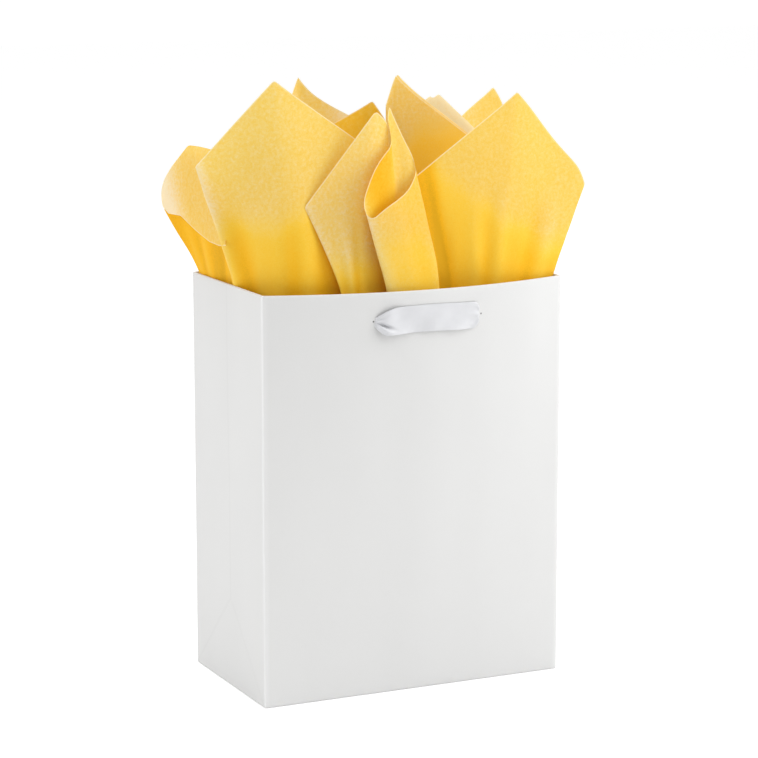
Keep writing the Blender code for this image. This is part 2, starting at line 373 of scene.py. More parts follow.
def strap_standoff(s, v, from_hole, gathered):
    """How far the band stands off its panel; a gathered end bulges around one deep pleat."""
    wave = sum(height * np.sin(pace * s + slant * v + phase) for height, pace, slant, phase in STRAP_WAVES)
    standoff = STRAP_REACH * (1.0 - 0.6 * v) + 0.5 * (1.0 - v) * wave
    standoff = np.maximum(standoff, STRAP_CLEARANCE)
    if gathered:
        pleat_line = -0.02 - from_hole / (21 * MM)
        bulge, lobe, hollow = (
            height * bell(from_hole, place, size)
            for height, place, size in (GATHER_BULGE, GATHER_LOBE, GATHER_HOLLOW)
        )
        lobe = lobe * bell(v, pleat_line - 0.3, 0.2)
        hollow = hollow * bell(v, pleat_line, 0.12)
        standoff = np.maximum(standoff + bulge + lobe - hollow, PAPER)
    return standoff


def ribbon_strap(side_name, hand, material):
    """Half of the satin band between the holes, pleated to a point where it passes through."""
    side = SIDES[side_name]
    outward = HANDS[hand]
    gathered = outward == LEFT
    middle = hole_point(side_name)
    along = np.sin(np.linspace(0.0, math.pi / 2, 61)) * outward
    across = np.linspace(-1.0, 1.0, 41)
    s, v = np.meshgrid(along, across, indexing="ij")
    from_hole = STRAP_HALF * (1.0 - np.abs(s))
    half_width = PINCH + (RIBBON / 2 - PINCH) * strap_opening(from_hole, v, gathered)
    x = STRAP_SHIFT + STRAP_HALF * s
    z = middle.z + half_width * v + STRAP_SWAY * np.cos(3.0 * s)

    standoff = strap_standoff(s, v, from_hole, gathered) * eased(from_hole / OUT_OF_HOLE) ** 0.7
    near_hole = bell(from_hole, 0.0, PLEAT_REACH) * smoothstep(0.0, 3 * MM, from_hole)
    pleats = PLEAT * near_hole * (1.0 + np.cos(2.6 * math.pi * v))
    hole_depth = abs(panel_y(HOLE_X, middle.z, side) - middle.y)
    sunk = hole_depth * (1.0 - smoothstep(0.0, INTO_HOLE, from_hole))
    y = panel_y(x, z, side) + side * (standoff + pleats - sunk)
    points = np.stack([x, y, z], -1)
    if side * outward < 0:
        points = points[::-1]

    strap = grid_object("_".join((side_name, "ribbon", hand)), points)
    finish_piece(strap, material)
    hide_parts("_".join((side_name, "neck", hand)))
    if gathered:
        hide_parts(side_name + "_strap")
    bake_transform(strap)


def ribbon_tail(side_name, hand, material):
    """Slack ribbon, folded lengthwise, hanging inside the panel down to its knot."""
    low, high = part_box("_".join((side_name, "tail", hand)))
    side = SIDES[side_name]
    hole = hole_point(side_name)
    centre_x = (low.x + high.x) / 2
    top = Vector((centre_x, hole.y - side * TAIL_INSET, hole.z))
    bottom = Vector((centre_x, high.y if side == FRONT else low.y, low.z))
    t, v = np.meshgrid(np.linspace(0.0, 1.0, 50), np.linspace(-1.0, 1.0, 15), indexing="ij")
    swell = np.sin(math.pi * np.clip(t * 1.02, 0, 1)) ** 0.5
    half_width = TAIL_WIDTHS[0] + TAIL_WIDTHS[1] * swell
    fold = TAIL_FOLD * np.cos(math.pi * v) * np.sin(math.pi * t) ** 0.5
    x = centre_x + half_width * v + TAIL_SWAY * np.sin(7.0 * t)
    y = top.y + (bottom.y - top.y) * t ** 0.5 + fold
    z = top.z + (bottom.z - top.z) * t
    name = "_".join((side_name, "slack", hand))
    tail = grid_object(name, np.stack([x, y, z], -1), thickness=RIBBON_THICKNESS)
    finish_piece(tail, material, "bag", ["_".join((side_name, "tail", hand))])
    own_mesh(tail)


def overhand_loop(size):
    """Closed path of an overhand knot, and its unit directions along the path and across it."""
    turns = np.linspace(0.0, 2 * math.pi, 96, endpoint=False)
    path = size * np.stack([
        np.sin(turns) + 2.0 * np.sin(2 * turns),
        0.8 * np.sin(3 * turns),
        np.cos(turns) - 2.0 * np.cos(2 * turns),
    ], -1)
    tangent = np.roll(path, -1, axis=0) - np.roll(path, 1, axis=0)
    tangent /= np.linalg.norm(tangent, axis=1, keepdims=True)
    flat = np.cross(tangent, np.array([0.0, 1.0, 0.0]))
    flat /= np.linalg.norm(flat, axis=1, keepdims=True)
    return path, flat, np.cross(tangent, flat)


def ribbon_knot(side_name, hand, material):
    """Overhand knot at the ribbon's end."""
    node = "_".join((side_name, "knot", hand))
    low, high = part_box(node)
    centre = (low + high) / 2
    path, thin_way, wide_way = overhand_loop(KNOT_SCALE * (high.x - low.x))
    wide, thin = KNOT_CORD
    rings = []
    for angle in np.linspace(0.0, 2 * math.pi, 12, endpoint=False):
        rings.append(path + wide * math.cos(angle) * wide_way + thin * math.sin(angle) * thin_way)
    points = np.stack(rings + rings[:1], 0) + np.array(centre)
    knot = grid_object(node + "_tie", points, closed=True)
    finish_piece(knot, material, side_name + "_knots", [node])
    knot_tip(node, centre, side_name, material)


def knot_tip(node, centre, side_name, material):
    """Short end of the ribbon below its knot, cut at a slant."""
    t, v = np.meshgrid(np.linspace(0, 1, 12), np.linspace(-1, 1, 7), indexing="ij")
    x = centre.x + (TIP_WIDTHS[0] + TIP_WIDTHS[1] * t) * v
    y = centre.y + TIP_FOLD * np.cos(math.pi * v)
    z = centre.z - TIP_DROP - TIP_LENGTH * t - TIP_SLANT * v * t
    tip = grid_object(node + "_tip", np.stack([x, y, z], -1), thickness=RIBBON_THICKNESS)
    finish_piece(tip, material, side_name + "_knots")


def all_ribbon(material):
    """Band, slack and knots of both handles."""
    for side_name in SIDES:
        for hand in HANDS:
            ribbon_strap(side_name, hand, material)
            ribbon_tail(side_name, hand, material)
            ribbon_knot(side_name, hand, material)


# ---------------------------------------------------------------- tissue

# A point on a sheet's crown and the place where the sheet passes the mouth below it.
# x, y and the mouth are shares of the bag's half width and half depth; rise is a share of
# the crown's height above the rim. turn rounds the sheet in plan and point rounds its cut
# edge, both in mm. tone is how deep the colour is, partly the sheet's own yellow and partly
# painted shade on shaded inner parts. dense is the rise below which gathered layers lie
# behind the sheet, and pale how much the fold below the key is lightened; a negative pale
# paints shadow cast by a neighbouring sheet.
Key = namedtuple(
    "Key", "x y rise mouth_x mouth_y turn point tone dense pale", defaults=(20, 4, 0.35, 0.3, 0.0)
)

LEFT_SHEET = [
    Key(-1.32, -0.56, 0.604, -0.980, -0.14, turn=3, point=4, tone=0.38, dense=0.36, pale=0.6),
    Key(-0.87, -0.80, 1.012, -0.82, -1.02, point=1.5, tone=0.38, dense=0.36),
    # Negative pale here paints shade along this fold, where the front sheet stands in front of it
    Key(-0.30, -0.81, 0.693, -0.40, -1.00, turn=8, tone=0.42, dense=0.64, pale=-0.5),
    Key(-0.45, -0.30, 0.200, -0.45, -0.30, turn=10, point=12),
    Key(-0.55, 0.42, 0.600, -0.50, 0.50),
    Key(-0.75, 0.95, 0.250, -0.72, 0.92, turn=14, point=12),
    Key(-1.15, 1.16, 0.302, -0.980, 0.86, turn=1.5, point=3, tone=0.85, dense=0.6),
    Key(-1.14, 1.14, 0.420, -0.980, 0.82, turn=12, point=10, tone=0.85, dense=0.6),
    Key(-1.10, 0.63, 0.630, -0.980, 0.60, point=3, tone=0.85, dense=0.6),
    Key(-1.05, 0.10, 0.632, -0.980, 0.30, point=4, tone=0.9, dense=0.6),
    Key(-1.00, -0.20, 0.400, -0.95, 0.10, turn=8, point=10, tone=0.9),
]
FLAP_TOP = [
    (-1.150, 1.100, 0.339),
    (-1.160, 1.120, 0.379),
    (-1.165, 1.110, 0.425),
    (-1.160, 1.050, 0.478),
    (-1.150, 0.850, 0.553),
    (-1.120, 0.520, 0.662),
    (-1.090, 0.320, 0.662),
    (-1.070, 0.000, 0.657),
    (-1.060, -0.180, 0.655),
]
FLAP_BOTTOM = [
    (-1.150, 1.120, 0.318),
    (-1.150, 1.030, 0.300),
    (-1.150, 0.630, 0.308),
    (-1.140, 0.530, 0.287),
    (-1.120, 0.300, 0.246),
    (-1.100, 0.020, 0.209),
    (-1.090, -0.220, 0.201),
    (-1.080, -0.360, 0.209),
]
FRONT_SHEET = [
    Key(-0.71, -0.93, 0.406, -0.51, -1.09, turn=2.5, point=1.5, tone=0.34, dense=0.16, pale=0.2),
    Key(-0.26, -0.99, 0.857, -0.36, -1.11, point=3, tone=0.35, dense=0.16),
    Key(-0.16, -0.93, 0.790, -0.21, -1.04, turn=4, point=6, tone=0.4, dense=0.16),
    Key(-0.14, -0.89, 0.560, -0.17, -0.98, turn=4, point=6),
    Key(-0.32, -0.84, 0.250, -0.30, -0.93, turn=6, point=8),
    Key(-0.55, -0.88, 0.250, -0.45, -0.98, turn=5, point=8),
]
CORNET = [
    Key(-0.40, -1.19, 0.415, -0.25, -1.22, turn=6, point=8, tone=0.42, pale=0.25),
    Key(-0.38, -1.23, 0.366, -0.25, -1.24, turn=3, point=4, tone=0.42, pale=0.45),
    Key(-0.345, -1.245, 0.350, -0.20, -1.26, turn=4, point=3, tone=0.4),
    Key(-0.26, -1.260, 0.404, -0.12, -1.27, point=6, tone=0.42),
    Key(-0.16, -1.20, 0.440, -0.03, -1.27, turn=8, point=8, tone=0.48),
    Key(-0.07, -1.11, 0.478, 0.05, -1.25, turn=6, point=6, tone=0.52),
    Key(0.005, -1.00, 0.545, 0.12, -1.21, turn=4, point=8, tone=0.5, dense=0.2),
    Key(0.01, -0.94, 0.615, 0.13, -1.12, turn=8, point=10, tone=0.38, dense=0.2),
    Key(-0.06, -0.925, 0.713, 0.10, -1.06, point=12, tone=0.42, dense=0.3),
    Key(-0.15, -0.91, 0.874, 0.02, -1.02, turn=4, point=1.5, tone=0.42, dense=0.45),
    Key(-0.17, -0.94, 0.819, -0.03, -1.03, turn=4, point=6, tone=0.42, dense=0.5),
    Key(-0.16, -0.98, 0.759, -0.08, -1.05, turn=4, point=6, tone=0.38, dense=0.6),
    Key(-0.165, -1.03, 0.692, -0.13, -1.08, turn=4, point=4, tone=0.65, dense=0.6),
    Key(-0.29, -1.13, 0.607, -0.17, -1.12, turn=8, point=8, tone=0.9, dense=0.6),
    Key(-0.37, -1.18, 0.496, -0.21, -1.17, turn=10, point=10, tone=0.7, dense=0.5),
]
RIGHT_SHEET = [
    # Negative pale on these two keys paints the shadow the cornet casts on this sheet's left fold
    Key(0.03, -0.80, 0.510, 0.14, -1.00, turn=3, point=1.5, tone=0.43, dense=0.60, pale=-0.9),
    Key(0.13, -0.81, 0.568, 0.20, -1.02, tone=0.43, dense=0.60, pale=-0.8),
    Key(0.73, -0.87, 0.918, 0.54, -1.12, point=1.5, tone=0.43, dense=0.34),
    Key(1.00, -0.86, 0.655, 0.80, -1.05, turn=8, point=12, tone=0.43, dense=0.22),
    Key(1.15, -0.90, 0.530, 0.94, -0.97, turn=6, point=8, tone=0.43, dense=0.19),
    Key(1.19, -0.91, 0.440, 0.983, -0.90, turn=2.5, point=3, tone=0.43, dense=0.19),
    Key(1.08, -0.55, 0.250, 0.95, -0.60, turn=10, point=10),
    Key(1.02, -0.05, 0.520, 0.92, -0.15),
    Key(0.66, -0.26, 0.240, 0.60, -0.35, turn=12, point=10),
    Key(0.22, -0.50, 0.260, 0.25, -0.55, turn=10, point=10),
]
# Leaves of the back bunch
PEAK_LEAF = [
    Key(0.06, 0.00, 0.820, 0.08, 0.05, turn=2.5, point=8, tone=0.36, dense=0.55),
    Key(0.085, 0.00, 0.890, 0.10, 0.05, point=8, tone=0.36, dense=0.55),
    Key(0.13, 0.00, 0.988, 0.16, 0.00, turn=6, point=1, tone=0.36, dense=0.55),
    Key(0.24, 0.00, 0.905, 0.25, 0.00, point=8, tone=0.36, dense=0.75),
    Key(0.72, 0.00, 0.625, 0.55, 0.00, turn=4, tone=0.36, dense=0.75),
    Key(0.82, 0.22, 0.630, 0.62, 0.25, turn=4, tone=0.0, dense=0.2),
    Key(0.48, 0.22, 0.873, 0.45, 0.28, point=0.8, tone=0.0, dense=0.2),
    Key(0.44, 0.22, 0.852, 0.40, 0.28, point=0.8, tone=0.0, dense=0.2),
    Key(0.42, 0.22, 0.864, 0.38, 0.28, point=0.8, tone=0.0, dense=0.2),
    Key(0.25, 0.19, 0.780, 0.22, 0.25, tone=0.0, dense=0.2),
]
RIGHT_LEAF = [
    Key(0.60, 0.45, 0.640, 0.50, 0.45, turn=3, point=3, tone=0.3),
    Key(0.69, 0.48, 0.735, 0.58, 0.48, point=3, tone=0.3),
    Key(0.97, 0.52, 0.892, 0.75, 0.52, point=1.5, tone=0.42),
    Key(1.03, 0.52, 0.802, 0.85, 0.52, turn=6, point=3, tone=0.42),
    Key(1.10, 0.55, 0.640, 0.90, 0.55, turn=4, point=6, tone=0.42),
    Key(0.98, 0.86, 0.500, 0.88, 0.86, turn=10, point=10),
    Key(0.60, 0.98, 0.680, 0.55, 1.00),
    Key(0.42, 0.80, 0.420, 0.40, 0.80, turn=10, point=10),
]
LEFT_LEAF = [
    Key(-0.31, 0.18, 0.730, -0.24, 0.20, turn=3, point=3, tone=0.62, dense=0.74),
    Key(0.05, 0.22, 0.857, 0.00, 0.22, point=1.5, tone=0.62, dense=0.74),
    Key(0.14, 0.17, 0.715, 0.06, 0.20, turn=3, tone=0.62, dense=0.74),
    Key(0.20, 0.50, 0.600, 0.12, 0.48, turn=6, point=8),
    Key(0.05, 0.56, 0.735, 0.02, 0.56, turn=6, point=8, tone=0.0, dense=0.2),
    Key(-0.02, 0.59, 0.769, -0.04, 0.60, point=14, tone=0.0, dense=0.2),
    Key(-0.12, 0.65, 0.811, -0.10, 0.66, point=14, tone=0.3, dense=0.3),
    Key(-0.22, 0.69, 0.862, -0.18, 0.70, point=14, tone=0.36, dense=0.4),
    Key(-0.29, 0.72, 0.909, -0.24, 0.74, point=8, tone=0.36, dense=0.4),
    Key(-0.34, 0.74, 0.969, -0.30, 0.76, turn=4, point=0.8, tone=0.36, dense=0.4),
    Key(-0.41, 0.70, 0.850, -0.36, 0.70, turn=4, point=3, tone=0.36, dense=0.4),
    Key(-0.44, 0.45, 0.560, -0.38, 0.45, turn=8, point=8),
]

RING_STEP = 1.6 * MM
SHEET_ROWS = 60
MOUTH_LEVEL = HEIGHT + 2 * MM
MOUTH_EASE = 0.07
CRUMPLE = 0.5 * MM
PALE_WIDTH = 6 * MM
# Lengthwise folds: wavelength along the edge, strength and phase
FLUTES = ((27 * MM, 0.8, 0.4), (46 * MM, 1.3, 2.1), (90 * MM, 0.9, 4.0))
FLUTE_DEPTH = 0.4 * MM
# Tone where several layers are gathered, partly the layers' own deeper yellow and partly painted shade,
# and how much painted shade deepens it toward the mouth
GATHERED_TONE = 0.60
MOUTH_TONE = 0.18
FLAP_COLUMNS = 90
FLAP_ROWS = 40
FLAP_ROLL = 1.8 * MM
BACK_FOOT = (0.22, 0.44)
UNDER_SLIP = (1.4 * MM, 0.8 * MM, 0.6 * MM)


def rounded(length, at, values, radii, period):
    """Straight runs between values at lengths `at`, with each corner eased over its radius."""
    around = np.concatenate([at - period, at, at + period])
    table = np.concatenate([values, values, values])
    reach = np.concatenate([radii, radii, radii])
    result = np.interp(length, around, table)
    slope = np.diff(table) / np.diff(around)
    for place, radius, change in zip(around[1:-1], reach[1:-1], np.diff(slope)):
        gap = np.clip(radius - np.abs(length - place), 0.0, None)
        result = result + change * gap ** 2 / (4.0 * radius)
    return result


def crown_curves(keys):
    """Crown, mouth and looks of a sheet at even steps along its edge."""
    field = {name: np.array([getattr(key, name) for key in keys], float) for name in Key._fields}
    crown = np.stack([
        field["x"] * HALF_WIDTH, field["y"] * HALF_DEPTH, HEIGHT + field["rise"] * CROWN
    ])
    mouth = np.stack([field["mouth_x"] * HALF_WIDTH, field["mouth_y"] * HALF_DEPTH])
    spans = np.linalg.norm(np.roll(crown, -1, axis=1) - crown, axis=0)
    stops = np.concatenate([[0.0], np.cumsum(spans)])
    total = stops[-1]
    stops = stops[:-1]
    shortest = np.minimum(spans, np.roll(spans, 1))
    turn = np.minimum(field["turn"] * MM, shortest)
    point = np.minimum(field["point"] * MM, shortest)
    length = np.arange(0.0, total, RING_STEP)

    def along(values, radii):
        return rounded(length, stops, values, radii, total)

    # Pale bands near the keys; negative strengths paint shadow
    pale = np.zeros(len(length))
    for stop, strength in zip(stops, field["pale"]):
        gap = np.abs((length - stop + total / 2) % total - total / 2)
        pale = pale + strength * bell(gap, 0.0, PALE_WIDTH)
    return {
        "length": length,
        "total": total,
        "crown": np.stack([along(crown[0], turn), along(crown[1], turn), along(crown[2], point)], -1),
        "mouth": np.stack([along(mouth[0], turn), along(mouth[1], turn)], -1),
        "tone": along(field["tone"], turn),
        "dense": along(field["dense"], turn),
        "pale": pale,
    }


def sheet_surface(crown, mouth, foot, foot_size):
    """Rows of points from the foot through the mouth to the crown, eased at the mouth."""
    spoke = crown[:, :2] - np.array(foot[:2])
    spoke /= np.linalg.norm(spoke, axis=1, keepdims=True)
    start = np.column_stack([foot[:2] + spoke * np.array(foot_size), np.full(len(crown), foot.z)])
    crossing = np.column_stack([mouth, np.full(len(crown), MOUTH_LEVEL)])
    knee = ((MOUTH_LEVEL - foot.z) / (crown[:, 2] - foot.z))[:, None]
    rows = np.linspace(0.0, 1.0, SHEET_ROWS) ** 0.8
    share = rows[:, None, None] * np.ones((len(crown), 1))
    low_slope = (crossing - start) / knee
    high_slope = (crown - crossing) / (1.0 - knee)
    points = np.where(share < knee, start + low_slope * share, crossing + high_slope * (share - knee))
    near = np.clip(MOUTH_EASE - np.abs(share - knee), 0.0, None)
    points = points + (high_slope - low_slope) * near ** 2 / (4.0 * MOUTH_EASE)
    return points, share[..., 0]


def distance_to_edge(points, crown):
    """Distance from each point up its sheet to the cut edge, measured square to the edge."""
    run = np.roll(crown, -1, axis=0) - np.roll(crown, 1, axis=0)
    run /= np.maximum(np.linalg.norm(run, axis=1, keepdims=True), 1e-9)
    rise = points[-1] - points[SHEET_ROWS // 2]
    rise /= np.linalg.norm(rise, axis=1, keepdims=True)
    sine = np.clip(np.linalg.norm(np.cross(run, rise), axis=1), 0.2, 1.0)
    return np.linalg.norm(points[-1] - points, axis=-1) * sine


def flute_pattern(length, total, seed):
    """Lengthwise folds of a sheet, as waves along its edge."""
    pattern = np.zeros(len(length))
    for wave, strength, phase in FLUTES:
        count = max(1, round(total / wave))
        pattern += strength * np.sin(2 * math.pi * count * length / total + phase * seed)
    return pattern


def tissue_sheet(name, body, keys, foot, material, foot_size=(5 * MM, 5 * MM),
                 seed=1.0, gathering=1.0, slip=(0.0, 0.0, 0.0), stands_for=()):
    """Thin sheet that fans out from its foot, through the mouth, to the crown its keys give."""
    foot = Vector((foot[0] * HALF_WIDTH, foot[1] * HALF_DEPTH, FOOT_HEIGHT))
    curves = crown_curves(keys)
    crown = curves["crown"]
    crown = crown + np.array(slip) * smoothstep(HEIGHT, cad_high.z, crown[:, 2])[:, None]
    points, share = sheet_surface(crown, curves["mouth"], foot, foot_size)
    height = points[..., 2]
    level = (height - HEIGHT) / CROWN
    to_edge = distance_to_edge(points, crown)

    gathered = 1.0 - smoothstep(HEIGHT + 0.05 * CROWN, HEIGHT + 0.6 * CROWN, height)
    gathered *= smoothstep(0.0, 45 * MM, to_edge) * smoothstep(0.0, 0.35, share)
    flute = flute_pattern(curves["length"], curves["total"], seed) * gathered
    crumple = noise_field(points, 24 * MM, seed) + 0.25 * noise_field(points, 8 * MM, seed + 5)
    clear_of_hem = 0.3 + 0.7 * smoothstep(2 * MM, 14 * MM, np.abs(height - HEIGHT))
    shift = FLUTE_DEPTH * flute + CRUMPLE * crumple * smoothstep(0.0, 0.3, share)
    points = points + normals_of(points) * (shift * clear_of_hem)[..., None]

    wander = 0.035 * noise_field(points, 18 * MM, seed + 9)
    # Painted shade, partly the gathered layers' own deeper yellow: colour deepens below the dense rise and
    # more toward the mouth
    density = gathering * (1.0 - smoothstep(-0.13, 0.05, level - curves["dense"] + wander))
    deepest = GATHERED_TONE + MOUTH_TONE * (1.0 - smoothstep(-0.1, 0.5, level))
    layers = {
        "edge": to_edge,
        "tone": curves["tone"] + density * np.clip(deepest - curves["tone"], 0.0, None),
        "dense": density,
        "flute": flute,
        "pale": curves["pale"] * smoothstep(0.2, 1.0, share),
    }
    finish_piece(grid_object(name, points, True, layers), material, body, stands_for)


def smooth_line(corners, count, rounds):
    """Evenly spaced points along a line through the corners, softened at each corner."""
    corners = np.array(corners)
    spans = np.linalg.norm(np.diff(corners, axis=0), axis=1)
    stops = np.concatenate([[0.0], np.cumsum(spans)])
    fine = np.linspace(0.0, stops[-1], count)
    line = np.stack([np.interp(fine, stops, corners[:, axis]) for axis in range(3)], -1)
    for _ in range(rounds):
        line[1:-1] = (line[:-2] + 2 * line[1:-1] + line[2:]) / 4
    return line


def folded_flap(material):
    """Part of the left sheet that folds over outward and hangs along its side."""
    scale = np.array([HALF_WIDTH, HALF_DEPTH, CROWN])
    rim = np.array([0.0, 0.0, HEIGHT])
    upper = smooth_line(np.array(FLAP_TOP) * scale + rim, FLAP_COLUMNS, 5)
    lower = smooth_line(np.array(FLAP_BOTTOM) * scale + rim, FLAP_COLUMNS, 3)
    down = np.linspace(0.0, 1.0, FLAP_ROWS)[:, None, None]
    points = upper * (1 - down) + lower * down
    points[..., 0] -= FLAP_ROLL * np.sin(math.pi * down[..., 0] ** 0.5)
    to_edge = np.linalg.norm(lower - points, axis=-1)
    everywhere = np.ones_like(to_edge)
    from_fold = smoothstep(0.0, 0.55, np.linspace(0.0, 1.0, FLAP_COLUMNS)) * everywhere
    layers = {
        "edge": to_edge,
        "tone": 0.05 + 0.33 * from_fold,
        "dense": 0.0 * everywhere,
        "flute": 0.0 * everywhere,
        "pale": 0.5 * (1.0 - from_fold),
    }
    flap = grid_object("left_tissue_flap", points, layers=layers)
    finish_piece(flap, material, "left_tissue")


def all_tissue(material):
    """Four sheets; the front one has a rolled corner and the back one is a bunch of leaves."""
    tissue_sheet("left_tissue_sheet", "left_tissue", LEFT_SHEET, (-0.68, 0.0), material,
                 seed=1.0, stands_for=["left_tissue"])
    folded_flap(material)
    tissue_sheet("front_tissue_sheet", "front_tissue", FRONT_SHEET, (-0.21, -0.80), material,
                 seed=2.0, gathering=0.8, foot_size=(6 * MM, 3 * MM), stands_for=["front_tissue"])
    tissue_sheet("front_tissue_cornet", "front_tissue", CORNET, (0.10, -0.86), material,
                 seed=3.0, gathering=0.5, foot_size=(7 * MM, 3 * MM))
    tissue_sheet("right_tissue_sheet", "right_tissue", RIGHT_SHEET, (0.49, -0.60), material,
                 seed=4.0, stands_for=["right_tissue"])
    tissue_sheet("back_tissue_sheet", "back_tissue", PEAK_LEAF, BACK_FOOT, material,
                 seed=5.0, stands_for=["back_tissue"])
    tissue_sheet("back_tissue_under", "back_tissue", PEAK_LEAF, BACK_FOOT, material,
                 seed=5.0, slip=UNDER_SLIP)
    tissue_sheet("back_tissue_right", "back_tissue", RIGHT_LEAF, BACK_FOOT, material, seed=6.0)
    tissue_sheet("back_tissue_left", "back_tissue", LEFT_LEAF, BACK_FOOT, material, seed=7.0)


# ---------------------------------------------------------------- materials

PAPER_SHADES = ((0.695, 0.695, 0.688), (0.715, 0.715, 0.708))
PAPER_FLECK = (0.74, 0.74, 0.74)
# Painted highlight on the folds
FOLD_HIGHLIGHT = (0.84, 0.84, 0.84)
# Painted shade in the gussets' creases
CREASE_SHADE = (0.55, 0.55, 0.54)
# Painted shade inside the ribbon holes
HOLE_SHADOW = (0.13, 0.13, 0.13)
CARD_SHADES = ((0.70, 0.69, 0.66), (0.80, 0.79, 0.76))
SATIN_SHADES = ((0.655, 0.66, 0.68), (0.69, 0.695, 0.715))
# Tissue from its palest single layer to its deepest gathered layers; the deep end is partly painted shade
# and the last, darker olive stop is painted shadow
TISSUE_RAMP = (
    (0.0, (0.94, 0.84, 0.57)),
    (0.38, (0.92, 0.66, 0.16)),
    (0.62, (0.91, 0.57, 0.05)),
    (0.86, (0.89, 0.47, 0.012)),
    (1.0, (0.72, 0.39, 0.01)),
)
TISSUE_EDGE = (0.95, 0.85, 0.58)


def new_material(name):
    """Node material with its tree and shader."""
    material = bpy.data.materials.new(name)
    material.use_nodes = True
    tree = material.node_tree
    return material, tree, tree.nodes["Principled BSDF"]


def add(tree, kind, **settings):
    """Adds a node; a setting named like an input sets its value, any other sets a property."""
    node = tree.nodes.new(kind)
    for name, value in settings.items():
        label = name.replace("_", " ")
        if label in node.inputs:
            node.inputs[label].default_value = value
        else:
            setattr(node, name, value)
    return node


def connect(tree, value, socket):
    """Links a socket to an input, or sets the input to a plain number or colour."""
    if isinstance(value, bpy.types.NodeSocket):
        tree.links.new(value, socket)
    elif isinstance(value, tuple):
        socket.default_value = (*value, 1.0)
    else:
        socket.default_value = value


def texture_noise(tree, scale, detail=3.0, roughness=0.5, stretch=(1, 1, 1)):
    """Cloudy pattern around 0.5; scale counts its features in a metre."""
    place = add(tree, "ShaderNodeTexCoord")
    mapping = add(tree, "ShaderNodeMapping", Scale=stretch)
    pattern = add(tree, "ShaderNodeTexNoise", Scale=scale, Detail=detail, Roughness=roughness)
    tree.links.new(place.outputs["Object"], mapping.inputs["Vector"])
    tree.links.new(mapping.outputs["Vector"], pattern.inputs["Vector"])
    return pattern.outputs["Fac"]


def remap(tree, value, from_low, from_high, to_low, to_high):
    """Moves a value from one range to another and holds it there."""
    node = add(tree, "ShaderNodeMapRange")
    limits = (("From Min", from_low), ("From Max", from_high), ("To Min", to_low), ("To Max", to_high))
    for name, limit in limits:
        node.inputs[name].default_value = limit
    tree.links.new(value, node.inputs["Value"])
    return node.outputs["Result"]


def mix_colour(tree, share, first, second):
    """Mix of two colours; the share and the colours may be plain values or sockets."""
    node = add(tree, "ShaderNodeMix", data_type="RGBA")
    for value, socket in ((share, node.inputs[0]), (first, node.inputs[6]), (second, node.inputs[7])):
        connect(tree, value, socket)
    return node.outputs[2]


def cloudy_colour(tree, pattern, shades):
    """Colour that drifts between two shades."""
    return mix_colour(tree, remap(tree, pattern, 0.3, 0.7, 0.0, 1.0), *shades)


def attribute(tree, name):
    """Value of one of the mesh's layers."""
    return add(tree, "ShaderNodeAttribute", attribute_name=name).outputs["Fac"]


def math_node(tree, operation, first, second=0.0):
    """Result of one sum or product; each term may be a number or a socket."""
    node = add(tree, "ShaderNodeMath", operation=operation)
    connect(tree, first, node.inputs[0])
    connect(tree, second, node.inputs[1])
    return node.outputs["Value"]


def bump(tree, shader, height, strength, distance):
    """Raises the surface by a pattern and gives back the bumped normal."""
    node = add(tree, "ShaderNodeBump", Strength=strength, Distance=distance)
    tree.links.new(height, node.inputs["Height"])
    tree.links.new(node.outputs["Normal"], shader.inputs["Normal"])
    return node.outputs["Normal"]


def hole_mask(tree):
    """1 inside the four punched holes, where their dark inside is painted as shade on the unbroken paper;
    the holes share one height and one distance from the middle.
    """
    place = add(tree, "ShaderNodeTexCoord")
    parts = add(tree, "ShaderNodeSeparateXYZ")
    tree.links.new(place.outputs["Object"], parts.inputs["Vector"])
    centred = math_node(tree, "SUBTRACT", parts.outputs["X"], STRAP_SHIFT)
    across = math_node(tree, "SUBTRACT", math_node(tree, "ABSOLUTE", centred), STRAP_HALF)
    up = math_node(tree, "SUBTRACT", parts.outputs["Z"], hole_point("front").z)
    across = math_node(tree, "MULTIPLY", across, across)
    up = math_node(tree, "MULTIPLY", up, up)
    reach = math_node(tree, "SQRT", math_node(tree, "ADD", across, up))
    return remap(tree, reach, 0.2 * PINCH, 0.6 * PINCH, 1.0, 0.0)


def paper_material():
    """White matte coated paper: faint fibres, a painted highlight along the folds, slightly darker painted
    shade along the gussets' creases and painted shade in the ribbon holes.
    """
    material, tree, shader = new_material("bag_paper_white")
    clouds = texture_noise(tree, 22.0, 2.0, stretch=(1, 1, 0.3))
    fibres = texture_noise(tree, 1400.0, 4.0, 0.6)
    colour = cloudy_colour(tree, clouds, PAPER_SHADES)
    colour = mix_colour(tree, remap(tree, fibres, 0.35, 0.65, 0.0, 0.25), colour, PAPER_FLECK)
    # Painted highlight along the folds
    colour = mix_colour(tree, attribute(tree, "fold"), colour, FOLD_HIGHLIGHT)
    # Painted shade along the gussets' creases
    crease_shade = math_node(tree, "MULTIPLY", attribute(tree, "crease"), 0.14)
    colour = mix_colour(tree, crease_shade, colour, CREASE_SHADE)
    # Painted shade: dark discs where the ribbon holes show the bag's dark inside
    colour = mix_colour(tree, hole_mask(tree), colour, HOLE_SHADOW)
    tree.links.new(colour, shader.inputs["Base Color"])
    tree.links.new(remap(tree, fibres, 0.3, 0.7, 0.5, 0.68), shader.inputs["Roughness"])
    shader.inputs["Specular IOR Level"].default_value = 0.35
    bump(tree, shader, fibres, 0.08, 0.1 * MM)
    return material


